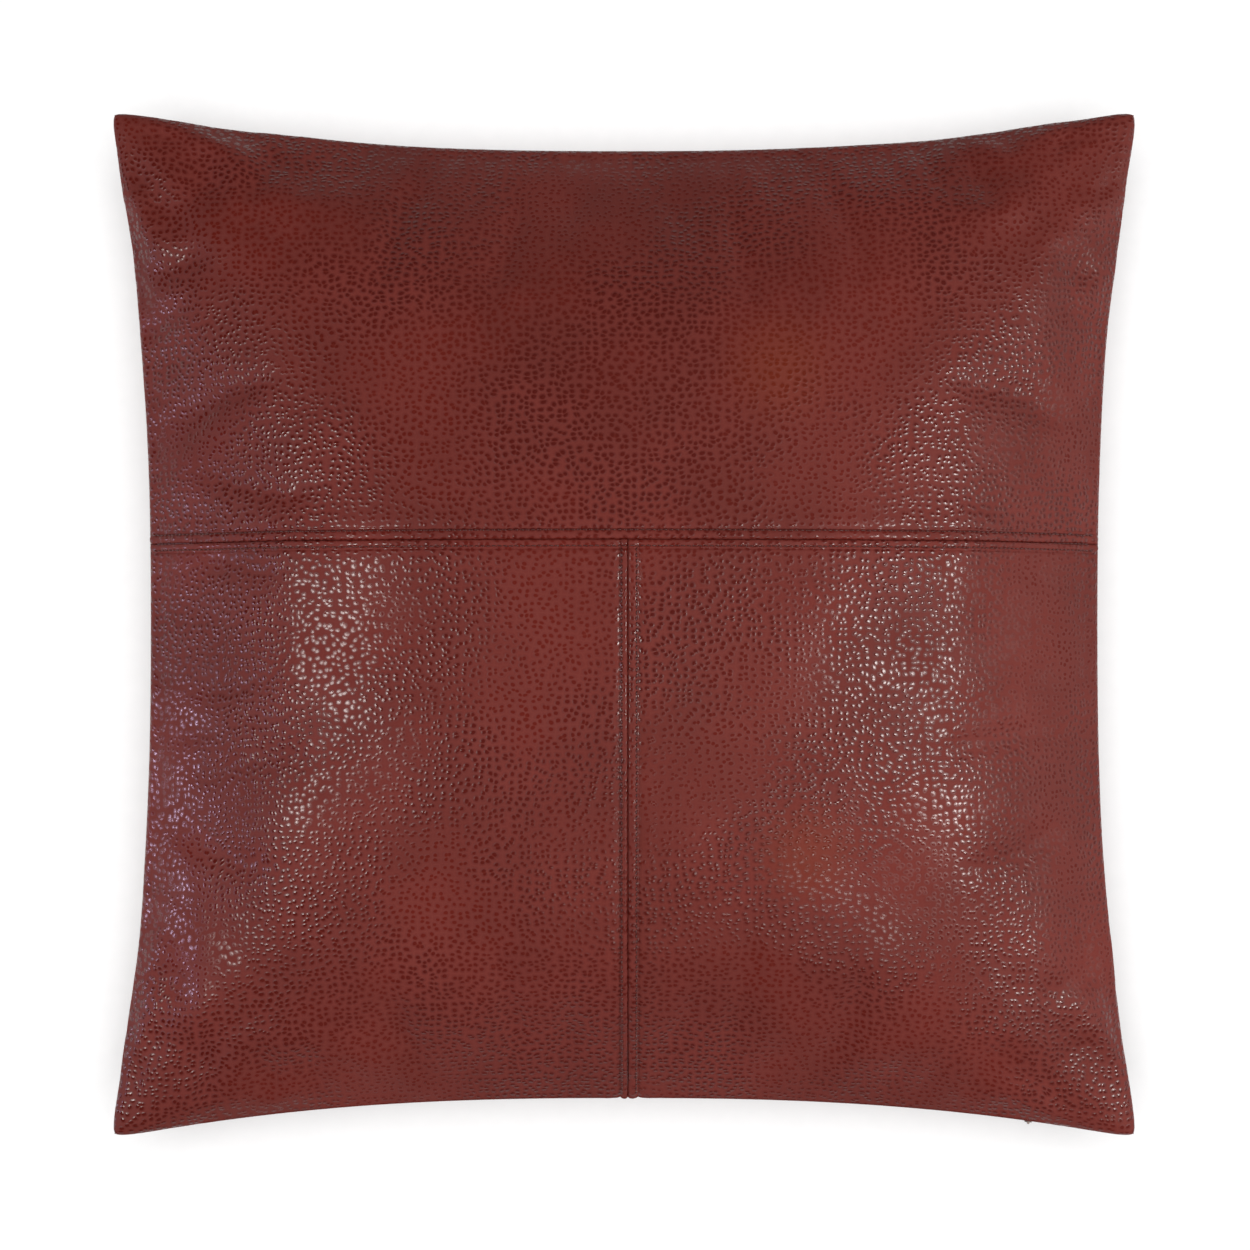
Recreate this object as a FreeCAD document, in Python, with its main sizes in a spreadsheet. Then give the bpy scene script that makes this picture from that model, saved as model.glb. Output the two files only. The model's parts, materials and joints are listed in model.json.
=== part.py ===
import FreeCAD, Part
import math
import os

import Sketcher

# A square throw pillow of faux leather, lying on its back with its face up.
# The face has three panels: one across the top and two below it, joined by topstitched seams.
# A concealed zip runs along the lower edge, and a cloth insert with fibre filling is inside.
#
# Frame, in millimetres: X to the right and Y to the top edge as the face is looked at, and Z up
# out of the face. The origin is under the middle, on the surface that the pillow rests on.

DIMENSIONS = (
    ("cover_span", 600, "from tip to tip across the filled cover"),
    ("edge_inset", 21.8, "how far the middle of each edge draws in from the tips"),
    ("inset_power", 2.45, "how late an edge curves out towards its tips"),
    ("seam_level", 85, "edge seam above the surface that the pillow rests on"),
    ("front_rise", 85, "crown of the face above the edge seam"),
    ("back_rise", 90, "crown of the back before it flattens where it rests"),
    ("crown_power", 0.7, "fullness of the crown, which is fuller at a lower value"),
    ("edge_softness", 0.01, "keeps the slope at the edge seam finite"),
    ("leather", 1.2, "thickness of the faux leather"),
    ("allowance", 12, "width of the turned-in leather each side of a face seam"),
    ("cross_seam", 47, "cross seam above the middle"),
    ("centre_seam", 2, "centre seam to the right of the middle"),
    ("row_above", 6, "cross seam to the row of stitches above it"),
    ("row_below", 5, "cross seam to the row of stitches below it"),
    ("row_left", 4.5, "centre seam to the row of stitches on its left"),
    ("row_right", 6, "centre seam to the row of stitches on its right"),
    ("stitch_pitch", 3.2, "from one stitch to the next"),
    ("stitch_length", 2.6, "length of thread that shows in a stitch"),
    ("thread_radius", 0.3, "radius of the sewing thread"),
    ("insert_inset", 12, "edge of the insert inside the edge seam"),
    ("insert_gap", 3.2, "insert below the outside of the leather"),
    ("insert_cloth", 0.4, "thickness of the insert's cloth"),
    ("zip_radius", 2286, "radius of the zip's arc, which follows the lower edge"),
    ("zip_reach", 252, "end of the zip's tapes, along the edge from its middle"),
    ("slot_reach", 246, "end of the slot in the leather for the zip"),
    ("slot_half", 1.1, "half the width of that slot"),
    ("slider_rest", 238, "closed slider, along the edge from its middle"),
    ("coil_inset", 5.7, "coil teeth inside the edge"),
    ("coil_width", 1.8, "width of the coil teeth"),
    ("coil_half", 0.7, "half the height of the coil"),
    ("tooth_pitch", 2.4, "from one tooth to the next on one side"),
    ("tooth_length", 0.9, "length of a tooth along the zip"),
    ("teeth_reach", 243, "last tooth, along the edge from its middle"),
    ("tape_thickness", 0.4, "thickness of the woven tape"),
    ("tape_flat", 2.1, "part of a tape that lies on the teeth"),
    ("tape_run", 8, "how far inwards the rest of a tape reaches"),
    ("tape_rise", 9, "how far that part turns away from the edge seam"),
    ("slider_length", 9, "length of the slider"),
    ("plate_thickness", 0.6, "plate of the slider outside the leather"),
    ("plate_half", 1.6, "half the height of that plate"),
    ("plate_gap", 0.1, "plate of the slider outside the edge"),
    ("guide_inset", 4.6, "guide of the slider inside the edge"),
    ("guide_depth", 3, "depth of that guide"),
    ("guide_half", 2.4, "half the height of that guide"),
    ("guide_wall", 0.8, "wall of that guide"),
    ("neck_half", 0.8, "half the height of the neck between plate and guide"),
    ("neck_length", 3, "length of that neck"),
    ("arch_width", 1.2, "width of the arch that holds the pull"),
    ("arch_half", 1.5, "half the height of the arch"),
    ("arch_depth", 2, "how far the arch stands out of the plate"),
    ("arch_wall", 0.45, "thickness of the arch"),
    ("pivot_offset", 0.8, "axis of the pull outside the plate"),
    ("bar_radius", 0.4, "radius of the pull's bar, which turns in the arch"),
    ("pull_width", 4, "width of the pull"),
    ("pull_length", 18, "length of the pull from its axis"),
    ("pull_thickness", 0.7, "thickness of the pull's tab"),
    ("window_length", 3, "length of the pull's window round the arch"),
    ("leg_width", 0.9, "width of each leg beside that window"),
)

doc = FreeCAD.newDocument("throw_pillow")
sheet = doc.addObject("Spreadsheet::Sheet", "dims")
for row, (alias, value, meaning) in enumerate(DIMENSIONS, start=1):
    sheet.set(f"A{row}", alias)
    sheet.set(f"B{row}", str(value))
    sheet.set(f"C{row}", meaning)
    sheet.setAlias(f"B{row}", alias)
doc.recompute()
size = {alias: float(sheet.get(alias)) for alias, _, _ in DIMENSIONS}

UP = FreeCAD.Vector(0, 0, 1)
ZIP_MIDDLE = -(size["cover_span"] / 2 - size["edge_inset"])
ZIP_CENTRE = FreeCAD.Vector(0, ZIP_MIDDLE - size["zip_radius"], 0)
ZIP_MIDDLE_CELLS = "(dims.edge_inset - dims.cover_span / 2)"
nodes = []


def node(piece):
    """Marks a document object as a finished piece, whose Label names its file."""
    nodes.append(piece)
    return piece


# ---- Document objects that are bound to the sheet ----


def block(name, low, high):
    """A box between two corners, each given as three expressions."""
    made = doc.addObject("Part::Box", name)
    for side, extent, start, end in zip("xyz", ("Length", "Width", "Height"), low, high):
        made.setExpression(f"Placement.Base.{side}", start)
        made.setExpression(extent, f"({end}) - ({start})")
    return made


def combine(kind, name, base, tool):
    """A Part::Cut or Part::Common of two objects."""
    made = doc.addObject(f"Part::{kind}", name)
    made.Base = base
    made.Tool = tool
    return made


def fuse(name, pieces):
    made = doc.addObject("Part::MultiFuse", name)
    made.Shapes = pieces
    return made


# ---- Crowned solids ----

GRID_STEPS = 12  # each way from the middle
GRID_ANGLE = 1.25  # radians; gathers the grid towards the edges
SHARES = [
    math.sin(GRID_ANGLE * step / GRID_STEPS) / math.sin(GRID_ANGLE)
    for step in range(-GRID_STEPS, GRID_STEPS + 1)
]


def crown(u, v):
    """Height share over the cover, from 1 at its middle to 0 where u or v is -1 or 1.

    Near an edge it depends on the distance from that edge alone, so the cover stays full up to
    its tips.
    """
    across, along = max(1 - u * u, 1e-9), max(1 - v * v, 1e-9)
    room = 1 / (1 / across + 1 / along - 1)
    soft = size["edge_softness"]
    power = size["crown_power"]
    low = soft**power
    return ((room + soft) ** power - low) / ((1 + soft) ** power - low)


def half_width(share, inset):
    """Half the cover's width at this share of its length, so that edges draw in between tips."""
    draw = size["edge_inset"] * (1 - abs(share) ** size["inset_power"])
    return size["cover_span"] / 2 - inset - draw


def crown_point(u, v, inset, rise):
    """A place on a crowned surface above the edge seam; u and v go from -1 to 1."""
    return FreeCAD.Vector(u * half_width(v, inset), v * half_width(u, inset), rise * crown(u, v))


def dome(name, inset, rise):
    """A crowned solid on the edge seam's plane, drawn in by inset. A negative rise points down."""
    surface = Part.BSplineSurface()
    surface.interpolate([[crown_point(u, v, inset, rise) for v in SHARES] for u in SHARES])
    crowned = surface.toShape()
    base = Part.Face(Part.Wire(Part.__sortEdges__(crowned.Edges)))
    solid = Part.Solid(Part.Shell([crowned, base]))
    if solid.Volume < 0:
        solid.reverse()
    made = doc.addObject("Part::Feature", name)
    made.Shape = solid
    made.setExpression("Placement.Base.z", "dims.seam_level")
    return made


DRAW_PER_DEPTH = 1.3  # keeps a layer's thickness where the cover is steep, near its edges


def layer_inset(depth):
    """How far a surface this far inside the leather draws in at the edge seam."""
    return DRAW_PER_DEPTH * depth


def front_layer(name, depth):
    return dome(name, layer_inset(depth), size["front_rise"] - depth)


def back_layer(name, depth, inset=None):
    """A crowned solid for the back, flat where it rests, this far above the resting surface."""
    inset = layer_inset(depth) if inset is None else inset
    full = dome(f"{name}_full", inset, depth - size["back_rise"])
    keep = block(
        f"{name}_keep",
        ("-dims.cover_span", "-dims.cover_span", str(depth)),
        ("dims.cover_span", "dims.cover_span", "dims.seam_level"),
    )
    return combine("Common", name, full, keep)


# ---- The cover's panels ----

leather = size["leather"]
span = "dims.cover_span"
cross = "dims.cross_seam"
centre = "dims.centre_seam"
level = "dims.seam_level"
top = "(dims.seam_level + dims.front_rise + dims.leather)"
SLOT_OUTWARD = 6  # the slot's cut starts this far outside the edge
SLOT_INWARD = 4  # and ends this far inside it, past both lips of the leather


def arc_band(name, outer, inner, low, high, reach):
    """A band along the zip's arc: from outer to inner, inwards from the edge, and low to high.

    Reach names the dimension that says how far it goes each way from the zip's middle.
    """
    start = 90 - math.degrees(size[reach] / size["zip_radius"])
    sectors = []
    for suffix, depth in (("far", inner), ("near", outer)):
        sector = doc.addObject("Part::Cylinder", f"{name}_{suffix}")
        sector.setExpression("Radius", f"dims.zip_radius + ({depth})")
        sector.setExpression("Height", f"({high}) - ({low})")
        sector.setExpression("Angle", f"2 * dims.{reach} / dims.zip_radius * 180 / pi")
        sector.setExpression("Placement.Base.y", f"{ZIP_MIDDLE_CELLS} - dims.zip_radius")
        sector.setExpression("Placement.Base.z", low)
        sector.Placement.Rotation = FreeCAD.Rotation(UP, start)
        sectors.append(sector)
    return combine("Cut", name, *sectors)


slot = arc_band(
    "zip_slot",
    -SLOT_OUTWARD,
    SLOT_INWARD,
    f"{level} - dims.slot_half",
    f"{level} + dims.slot_half",
    "slot_reach",
)

face_outside = front_layer("face_outside", 0)
face_inside = front_layer("face_inside", leather)
allowance_inside = front_layer("allowance_inside", 2 * leather)
cross_strip = block(
    "cross_strip",
    (f"-{span}", f"{cross} - dims.allowance", "0"),
    (span, f"{cross} + dims.allowance", top),
)
centre_strip = block(
    "centre_strip",
    (f"{centre} - dims.allowance", f"{ZIP_MIDDLE_CELLS} + dims.allowance", "0"),
    (f"{centre} + dims.allowance", cross, top),
)
seam_strips = fuse("seam_strips", [cross_strip, centre_strip])
open_inside = combine("Cut", "open_inside", face_inside, seam_strips)
face_skin = combine("Cut", "face_skin", face_outside, open_inside)
face_lined = combine("Cut", "face_lined", face_skin, allowance_inside)
face = combine("Cut", "face", face_lined, slot)

PANELS = {
    "front_upper_panel": ((f"-{span}", cross, "0"), (span, span, top)),
    "front_lower_left_panel": ((f"-{span}", f"-{span}", "0"), (centre, cross, top)),
    "front_lower_right_panel": ((centre, f"-{span}", "0"), (span, cross, top)),
}
for name, (low, high) in PANELS.items():
    region = block(f"{name}_region", low, high)
    node(combine("Common", name, face, region))

back_outside = back_layer("back_outside", 0)
back_inside = back_layer("back_inside", leather)
back_skin = combine("Cut", "back_skin", back_outside, back_inside)
node(combine("Cut", "back_panel", back_skin, slot))


# ---- Stitches ----

SHARE_ROUNDS = 30  # far more than the shares need to settle
LOOK_AHEAD = 0.5  # step for a row's direction


def leather_height(x, y, rise):
    """Height of the leather's outside over x and y. Solves crown_point for u and v by iteration."""
    u, v = x / half_width(0, 0), y / half_width(0, 0)
    for _ in range(SHARE_ROUNDS):
        u, v = x / half_width(v, 0), y / half_width(u, 0)
    return rise * crown(u, v)


def stitch_row(name, place, start, end, depth):
    """Separate stitches along place(t) from t = start to end, this far below the face."""

    def spot(t):
        x, y = place(t)
        return FreeCAD.Vector(x, y, leather_height(x, y, size["front_rise"]) - depth)

    stitches = []
    t = start
    while t < end:
        here = spot(t)
        along = (spot(t + LOOK_AHEAD) - here) / LOOK_AHEAD
        begin = here - along * (size["stitch_length"] / 2 / along.Length)
        stitches.append(
            Part.makeCylinder(size["thread_radius"], size["stitch_length"], begin, along)
        )
        t += size["stitch_pitch"] / along.Length
    row = doc.addObject("Part::Feature", name)
    row.Shape = Part.makeCompound(stitches)
    row.setExpression("Placement.Base.z", level)
    return node(row)


SEAM_END = 6  # the rows stop this far short of the edge seam
cross_y = size["cross_seam"]
centre_x = size["centre_seam"]
side_edge = size["cover_span"] / 2 - size["edge_inset"] - SEAM_END
seam_depth = 1.5 * leather  # in the middle of the turned-in leather
centre_row_end = cross_y - size["row_below"] - size["stitch_pitch"]

for name, y, depth in (
    ("cross_seam_topstitch_upper", cross_y + size["row_above"], 0),
    ("cross_seam_topstitch_lower", cross_y - size["row_below"], 0),
    ("cross_seam_thread", cross_y, seam_depth),
):
    stitch_row(name, lambda t, y=y: (t, y), -side_edge, side_edge, depth)

for name, x, depth in (
    ("centre_seam_topstitch_left", centre_x - size["row_left"], 0),
    ("centre_seam_topstitch_right", centre_x + size["row_right"], 0),
    ("centre_seam_thread", centre_x, seam_depth),
):
    stitch_row(name, lambda t, x=x: (x, t), -side_edge, centre_row_end, depth)


EDGE_THREAD_INSET = 0.6
ZIP_END_GAP = 2  # from the slot's end to the closing thread
GAP_DEPTH = 50  # well past the edge, each way
GAP_HEIGHT = 5


def edge_shares(first, last, share):
    """Shares u and v at this place along the side of the square from first to last."""
    blend = (1 + share) / 2
    ends = [(math.copysign(1, point.x), math.copysign(1, point.y)) for point in (first, last)]
    return [a + (b - a) * blend for a, b in zip(*ends)]


def edge_loop(name, inset, gap=None):
    """The closing seam's thread: a thin loop in the edge seam's plane, open where a zip is."""
    radius = size["thread_radius"]
    discs = []
    for draw in (inset, inset + 2 * radius):
        corners = [crown_point(u, v, draw, 0) for u, v in ((-1, -1), (1, -1), (1, 1), (-1, 1))]
        edges = []
        for first, last in zip(corners, corners[1:] + corners[:1]):
            along = [
                crown_point(*edge_shares(first, last, share), draw, 0) for share in SHARES
            ]
            curve = Part.BSplineCurve()
            curve.interpolate(along)
            edges.append(curve.toShape())
        disc = Part.Face(Part.Wire(Part.__sortEdges__(edges)))
        discs.append(disc.extrude(UP * 2 * radius))
    loop = discs[0].cut(discs[1])
    if gap:
        corner = FreeCAD.Vector(-gap, ZIP_MIDDLE - GAP_DEPTH, -GAP_HEIGHT)
        loop = loop.cut(Part.makeBox(2 * gap, 2 * GAP_DEPTH, 2 * GAP_HEIGHT, corner))
    made = doc.addObject("Part::Feature", name)
    made.Shape = loop
    made.setExpression("Placement.Base.z", f"{level} - dims.thread_radius")
    return node(made)


edge_loop("edge_seam_thread", EDGE_THREAD_INSET, gap=size["slot_reach"] + ZIP_END_GAP)


# ---- The insert ----

insert_inset = size["insert_inset"]
cloth = size["insert_cloth"]
CLOTH_TO_FILLING = 0.1
CASE_TO_THREAD = 0.1

insert_layers = {}
for layer, inward in (("outside", 0), ("inside", cloth), ("filling", cloth + CLOTH_TO_FILLING)):
    depth = size["insert_gap"] + inward
    inset = insert_inset + layer_inset(inward)
    insert_layers["front", layer] = dome(
        f"insert_front_{layer}", inset, size["front_rise"] - depth
    )
    insert_layers["back", layer] = back_layer(f"insert_back_{layer}", depth, inset)

for side in ("front", "back"):
    outside = insert_layers[side, "outside"]
    inside = insert_layers[side, "inside"]
    node(combine("Cut", f"insert_{side}_shell", outside, inside))
node(fuse("insert_filling", [insert_layers["front", "filling"], insert_layers["back", "filling"]]))
edge_loop("insert_edge_thread", insert_inset - 2 * size["thread_radius"] - CASE_TO_THREAD)

RIBBON_GAP = 0.4  # from a label to the leather or cloth that it lies on
LABEL_THICKNESS = 0.3
TAG_THICKNESS = 0.25
TAG_SHIFT = 0.5  # how much nearer the edge the tag's surface ends than the insert
LABEL_CORNERS = (("-150", "-258"), ("-118", "-212"))
TAG_CORNERS = (("205", "-20"), ("250", "12"))


def label_patch(name, depth, inset, thickness, low, high):
    """A patch of ribbon that follows the back between two depths, inside a box seen from above."""
    outside = back_layer(f"{name}_outside", depth, inset)
    inside = back_layer(f"{name}_inside", depth + thickness, inset + layer_inset(thickness))
    ribbon = combine("Cut", f"{name}_ribbon", outside, inside)
    window = block(f"{name}_window", (*low, "0"), (*high, level))
    return node(combine("Common", name, ribbon, window))


label_depth = leather + RIBBON_GAP
label_patch("care_label", label_depth, layer_inset(label_depth), LABEL_THICKNESS, *LABEL_CORNERS)
tag_depth = size["insert_gap"] - RIBBON_GAP
label_patch("insert_tag", tag_depth, insert_inset - TAG_SHIFT, TAG_THICKNESS, *TAG_CORNERS)


# ---- The zip ----

ROUGH_RADIUS = 5  # of the polygon that a profile starts from, before its expressions place it


def swept_profile(name, corners, reach):
    """A body of one closed profile, turned about the centre of the zip's arc.

    Each corner is a pair of expressions: inwards from the edge, and height.
    """
    body = doc.addObject("PartDesign::Body", name)
    sketch = body.newObject("Sketcher::SketchObject", f"{name}_profile")
    planes = {plane.Role: plane for plane in body.Origin.OriginFeatures}
    sketch.AttachmentSupport = (planes["XZ_Plane"], "")
    sketch.MapMode = "FlatFace"
    count = len(corners)
    rough = [
        FreeCAD.Vector(
            size["zip_radius"] + ROUGH_RADIUS * (2 + math.cos(2 * math.pi * i / count)),
            size["seam_level"] + ROUGH_RADIUS * math.sin(2 * math.pi * i / count),
            0,
        )
        for i in range(count)
    ]
    for i in range(count):
        sketch.addGeometry(Part.LineSegment(rough[i], rough[(i + 1) % count]), False)
    for i in range(count):
        sketch.addConstraint(Sketcher.Constraint("Coincident", i, 2, (i + 1) % count, 1))
    for i, (inward, height) in enumerate(corners):
        across = sketch.addConstraint(Sketcher.Constraint("DistanceX", -1, 1, i, 1, rough[i].x))
        sketch.setExpression(f"Constraints[{across}]", f"dims.zip_radius + {inward}")
        upward = sketch.addConstraint(Sketcher.Constraint("DistanceY", -1, 1, i, 1, rough[i].y))
        sketch.setExpression(f"Constraints[{upward}]", height)
    doc.recompute()
    turned = body.newObject("PartDesign::Revolution", f"{name}_turned")
    turned.Profile = sketch
    turned.ReferenceAxis = (sketch, ["V_Axis"])
    turned.Midplane = True
    turned.setExpression("Angle", f"2 * {reach} / dims.zip_radius * 180 / pi")
    body.Placement = FreeCAD.Placement(ZIP_CENTRE, FreeCAD.Rotation(UP, 90))
    return body


def along_zip(shape, distance):
    """Moves a shape made at the middle of the zip this far along the zip's arc."""
    angle = -math.degrees(distance / size["zip_radius"])
    shape.rotate(ZIP_CENTRE, UP, angle)
    return shape


def zip_block(low, high, distance):
    """A box at this distance along the zip; each corner is along, inwards and up."""
    corner = FreeCAD.Vector(low[0], ZIP_MIDDLE + low[1], low[2])
    sides = [end - start for start, end in zip(low, high)]
    return along_zip(Part.makeBox(*sides, corner), distance)


def zip_group(name, shapes):
    made = doc.addObject("Part::Feature", name)
    made.Shape = shapes[0] if len(shapes) == 1 else Part.makeCompound(shapes)
    made.setExpression("Placement.Base.z", level)
    return node(made)


flat_end = "dims.coil_inset + dims.tape_flat"
for side, sign in (("front", "+"), ("back", "-")):
    node(
        swept_profile(
            f"zip_tape_{side}",
            [
                ("dims.coil_inset", f"{level} {sign} dims.coil_half"),
                (flat_end, f"{level} {sign} dims.coil_half"),
                (
                    f"{flat_end} + dims.tape_run",
                    f"{level} {sign} (dims.coil_half + dims.tape_rise)",
                ),
                (
                    f"{flat_end} + dims.tape_run - dims.tape_thickness",
                    f"{level} {sign} (dims.coil_half + dims.tape_rise + dims.tape_thickness)",
                ),
                (
                    f"{flat_end} - dims.tape_thickness",
                    f"{level} {sign} (dims.coil_half + dims.tape_thickness)",
                ),
                ("dims.coil_inset", f"{level} {sign} (dims.coil_half + dims.tape_thickness)"),
            ],
            "dims.zip_reach",
        )
    )

coil_near = size["coil_inset"]
coil_far = coil_near + size["coil_width"]
coil_half = size["coil_half"]
tooth_half = size["tooth_length"] / 2
TOOTH_STEP = 0.2  # the teeth of one side stop this far short of the other side's tape

for side, sign, offset in (("front", 1, 0), ("back", -1, 0.5)):
    low, high = sorted((-sign * (coil_half - TOOTH_STEP), sign * coil_half))
    teeth = []
    count = int(2 * size["teeth_reach"] / size["tooth_pitch"])
    for i in range(count):
        distance = (i + offset + 0.5) * size["tooth_pitch"] - size["teeth_reach"]
        if distance < size["teeth_reach"]:
            corners = (-tooth_half, coil_near, low), (tooth_half, coil_far, high)
            teeth.append(zip_block(*corners, distance))
    zip_group(f"zip_coil_{side}", teeth)

STOP_GAP = 1.2
STOP_LENGTH = 2.5
STOP_SPLIT = 0.05  # half the gap between the two top stops
stop_at = size["teeth_reach"] + STOP_GAP + STOP_LENGTH / 2
stop_low = (-STOP_LENGTH / 2, coil_near)
stop_high = (STOP_LENGTH / 2, coil_far)
zip_group(
    "zip_top_stops",
    [
        zip_block((*stop_low, low), (*stop_high, high), stop_at)
        for low, high in ((STOP_SPLIT, coil_half), (-coil_half, -STOP_SPLIT))
    ],
)
zip_group(
    "zip_bottom_stop",
    [zip_block((*stop_low, -coil_half), (*stop_high, coil_half), -stop_at)],
)

SEWN_INSET = 14  # the zip's stitches, inwards from the edge
SEWN_PITCH = 2 * size["stitch_pitch"]
SEWN_FROM = 7.4  # just under the tape
for side, sign in (("front", 1), ("back", -1)):
    count = int(size["slot_reach"] // SEWN_PITCH)
    pins = []
    for i in range(-count, count + 1):
        turn = i * SEWN_PITCH / size["zip_radius"]
        radius = size["zip_radius"] + SEWN_INSET
        x, y = radius * math.sin(turn), ZIP_CENTRE.y + radius * math.cos(turn)
        sewn_to = leather_height(x, y, size[f"{side}_rise"]) - leather / 2
        foot = FreeCAD.Vector(x, y, sign * SEWN_FROM)
        pins.append(
            Part.makeCylinder(size["thread_radius"], sewn_to - SEWN_FROM, foot, UP * sign)
        )
    zip_group(f"zip_stitching_{side}", pins)


# ---- The slider and its pull, made at the middle of the zip and moved to its closed end ----

outer_face = f"{ZIP_MIDDLE_CELLS} - dims.plate_gap - dims.plate_thickness"
guide_face = f"{ZIP_MIDDLE_CELLS} + dims.guide_inset"
slider_half = "dims.slider_length / 2"
JOIN = 0.1  # how far fused pieces reach into each other


def part_of_slider(name, along, near, far, half):
    """A box centred on the edge seam: half its length, its outer and inner faces, half its height."""
    return block(
        name,
        (f"-({along})", near, f"{level} - {half}"),
        (along, far, f"{level} + {half}"),
    )


guide_end = f"{guide_face} + dims.guide_depth"
guide_solid = part_of_slider("guide_solid", slider_half, guide_face, guide_end, "dims.guide_half")
guide_channel = part_of_slider(
    "guide_channel",
    "dims.slider_length",
    f"{guide_face} + dims.guide_wall",
    f"{guide_end} + dims.guide_wall",
    "(dims.guide_half - dims.guide_wall)",
)
guide = combine("Cut", "guide", guide_solid, guide_channel)
neck = part_of_slider(
    "neck",
    "dims.neck_length / 2",
    f"{outer_face} + {JOIN}",
    f"{guide_face} + {JOIN}",
    "dims.neck_half",
)
plate = part_of_slider(
    "plate", slider_half, outer_face, f"{outer_face} + dims.plate_thickness", "dims.plate_half"
)
arch_solid = part_of_slider(
    "arch_solid",
    "dims.arch_width / 2",
    f"{outer_face} - dims.arch_depth",
    f"{outer_face} + {JOIN}",
    "dims.arch_half",
)
arch_window = part_of_slider(
    "arch_window",
    "dims.arch_width",
    f"{outer_face} - dims.arch_depth + dims.arch_wall",
    outer_face,
    "(dims.arch_half - dims.arch_wall)",
)
arch = combine("Cut", "arch", arch_solid, arch_window)
slider = node(fuse("zip_slider", [guide, neck, plate, arch]))

pivot = f"{outer_face} - dims.pivot_offset"
tab_face = f"{pivot} - dims.pull_thickness / 2"
tab_back = f"{pivot} + dims.pull_thickness / 2"
tab_top = f"{level} - dims.window_length"
bar = doc.addObject("Part::Cylinder", "pull_bar")
bar.setExpression("Radius", "dims.bar_radius")
bar.setExpression("Height", "dims.pull_width")
bar.setExpression("Placement.Base.x", "-dims.pull_width / 2")
bar.setExpression("Placement.Base.y", pivot)
bar.setExpression("Placement.Base.z", level)
bar.Placement.Rotation = FreeCAD.Rotation(FreeCAD.Vector(0, 1, 0), 90)
legs = []
for name, side in (("pull_leg_left", -1), ("pull_leg_right", 1)):
    edge = f"{side} * dims.pull_width / 2"
    inside = f"{side} * (dims.pull_width / 2 - dims.leg_width)"
    low_x, high_x = (edge, inside) if side < 0 else (inside, edge)
    legs.append(
        block(
            name,
            (low_x, tab_face, f"{tab_top} - {JOIN}"),
            (high_x, tab_back, level),
        )
    )
tab_end = f"{level} - dims.pull_length + dims.pull_width / 2"
tab = block(
    "pull_tab",
    ("-dims.pull_width / 2", tab_face, tab_end),
    ("dims.pull_width / 2", tab_back, tab_top),
)
rounded_end = doc.addObject("Part::Cylinder", "pull_end")
rounded_end.setExpression("Radius", "dims.pull_width / 2")
rounded_end.setExpression("Height", "dims.pull_thickness")
rounded_end.setExpression("Placement.Base.y", tab_back)
rounded_end.setExpression("Placement.Base.z", tab_end)
rounded_end.Placement.Rotation = FreeCAD.Rotation(FreeCAD.Vector(1, 0, 0), 90)
pull = node(fuse("zip_pull", [bar, *legs, tab, rounded_end]))

rest_turn = FreeCAD.Rotation(UP, -math.degrees(size["slider_rest"] / size["zip_radius"]))
for piece in (slider, pull):
    piece.Placement = FreeCAD.Placement(FreeCAD.Vector(), rest_turn, ZIP_CENTRE)


# ---- Checks and files ----

doc.recompute()
for made in doc.Objects:
    if "Invalid" in made.State or "Error" in made.State:
        raise RuntimeError(f"{made.Name} failed: {made.State}")
for piece in nodes:
    if piece.Shape.isNull() or not piece.Shape.isValid():
        raise RuntimeError(f"{piece.Label} has no valid shape")
    if not piece.Shape.Solids:
        raise RuntimeError(f"{piece.Label} has no solid")

os.makedirs("parts", exist_ok=True)
for piece in nodes:
    piece.Shape.exportStep(f"parts/{piece.Label}.step")
    box = piece.Shape.BoundBox
    print(
        f"{piece.Label}: {len(piece.Shape.Solids)} solids, {piece.Shape.Volume:.1f} mm3,"
        f" x {box.XMin:.2f} {box.XMax:.2f}, y {box.YMin:.2f} {box.YMax:.2f},"
        f" z {box.ZMin:.2f} {box.ZMax:.2f}"
    )
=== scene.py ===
import json
import math

import bpy
import numpy as np
from mathutils import Matrix, Vector


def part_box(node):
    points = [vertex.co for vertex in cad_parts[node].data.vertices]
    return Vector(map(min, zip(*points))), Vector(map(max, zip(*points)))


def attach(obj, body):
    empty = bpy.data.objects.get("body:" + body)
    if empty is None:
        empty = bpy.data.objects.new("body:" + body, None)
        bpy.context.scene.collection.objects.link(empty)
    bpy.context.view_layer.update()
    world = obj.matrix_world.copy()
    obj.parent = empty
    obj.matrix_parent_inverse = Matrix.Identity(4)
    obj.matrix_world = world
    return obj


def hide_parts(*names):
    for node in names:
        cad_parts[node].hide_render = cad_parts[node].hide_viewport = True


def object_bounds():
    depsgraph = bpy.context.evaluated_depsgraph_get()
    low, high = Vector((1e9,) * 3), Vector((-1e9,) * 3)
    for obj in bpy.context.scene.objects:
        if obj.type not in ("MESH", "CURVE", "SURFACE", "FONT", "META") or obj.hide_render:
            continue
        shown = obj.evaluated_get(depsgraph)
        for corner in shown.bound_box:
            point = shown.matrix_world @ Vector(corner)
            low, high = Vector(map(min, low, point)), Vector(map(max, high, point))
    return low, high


# A square faux leather throw pillow that lies on its back. The frame is the CAD's: X to the right,
# Y to the top edge, Z up out of the face, in metres, with the origin under the middle.
# Each leather panel is a closed sheet on a grid. Its lines run along the seams and gather there,
# so that folds, stitched rows and lips are real geometry.

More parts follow.
